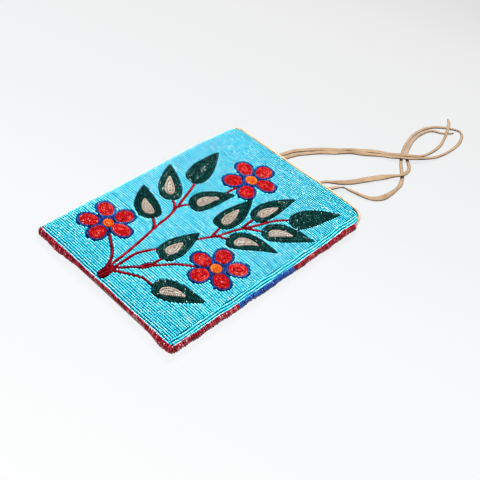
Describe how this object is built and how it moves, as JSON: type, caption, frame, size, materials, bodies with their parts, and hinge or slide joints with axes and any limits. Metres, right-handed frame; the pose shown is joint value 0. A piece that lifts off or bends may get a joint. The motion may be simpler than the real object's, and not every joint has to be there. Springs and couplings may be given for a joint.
{
  "type": "beaded flat bag",
  "caption": "Flat hide and cloth pouch with a seed-bead floral front, a rolled bead edge, a bound open mouth and loose hide laces.",
  "frame": {"origin": "on the surface that the bag lies on, under the middle of the bag, laces left out", "axes": "+X across the bag to the right seen from above, +Y along it to the mouth, +Z out of the beaded face"},
  "size_m": [0.155, 0.4314, 0.0094],
  "materials": {
    "hide": "matte smoked hide",
    "hide_laces": "matte, slightly fuzzy hide thong",
    "cloth": "plain woven cotton",
    "light_blue_beads": "glossy glass seed beads",
    "dark_blue_beads": "glossy glass seed beads",
    "red_beads": "glossy glass seed beads",
    "dark_red_beads": "glossy glass seed beads",
    "orange_beads": "glossy glass seed beads",
    "green_beads": "glossy glass seed beads",
    "pale_beads": "satin glass seed beads"
  },
  "bodies": {
    "root": {"back_panel": "hide", "front_panel": "cloth", "bead_ground": "light_blue_beads", "bead_ground_patch": "light_blue_beads", "stems_lower": "dark_red_beads", "stems_upper": "dark_red_beads", "stem_top_flower": "dark_red_beads", "leaf_far_left_top": "green_beads", "leaf_heart_left_upper": "pale_beads", "leaf_left_upper": "green_beads", "leaf_heart_left_lower": "pale_beads", "leaf_left_lower": "green_beads", "leaf_heart_inner_left": "pale_beads", "leaf_inner_left": "green_beads", "leaf_heart_middle": "pale_beads", "leaf_middle": "green_beads", "leaf_heart_inner_right": "pale_beads", "leaf_inner_right": "green_beads", "leaf_far_right_top": "green_beads", "leaf_heart_right_upper": "pale_beads", "leaf_right_upper": "green_beads", "leaf_heart_right_lower": "pale_beads", "leaf_right_lower": "green_beads", "leaf_heart_centre_low": "pale_beads", "leaf_centre_low": "green_beads", "leaf_heart_bottom_right": "pale_beads", "leaf_bottom_right": "green_beads", "flower_top_outline": "dark_blue_beads", "flower_top_centre": "orange_beads", "flower_top_petal_1": "red_beads", "flower_top_petal_2": "red_beads", "flower_top_petal_3": "red_beads", "flower_top_petal_4": "red_beads", "flower_top_petal_5": "red_beads", "flower_left_outline": "dark_blue_beads", "flower_left_centre": "orange_beads", "flower_left_petal_1": "red_beads", "flower_left_petal_2": "red_beads", "flower_left_petal_3": "red_beads", "flower_left_petal_4": "red_beads", "flower_left_petal_5": "red_beads", "flower_right_outline": "dark_blue_beads", "flower_right_centre": "orange_beads", "flower_right_petal_1": "red_beads", "flower_right_petal_2": "red_beads", "flower_right_petal_3": "red_beads", "flower_right_petal_4": "red_beads", "flower_right_petal_5": "red_beads", "edge_roll_bottom": "dark_red_beads", "edge_roll_right_lower": "dark_red_beads", "edge_roll_right_blue": "dark_blue_beads", "edge_roll_right_upper": "dark_red_beads", "edge_roll_left_lower": "dark_red_beads", "edge_roll_left_blue": "dark_blue_beads", "edge_roll_left_upper": "dark_red_beads", "mouth_binding": "hide", "lace_handle": "hide_laces", "lace_tie_left": "hide_laces", "lace_tie_right": "hide_laces"}
  },
  "joints": []
}
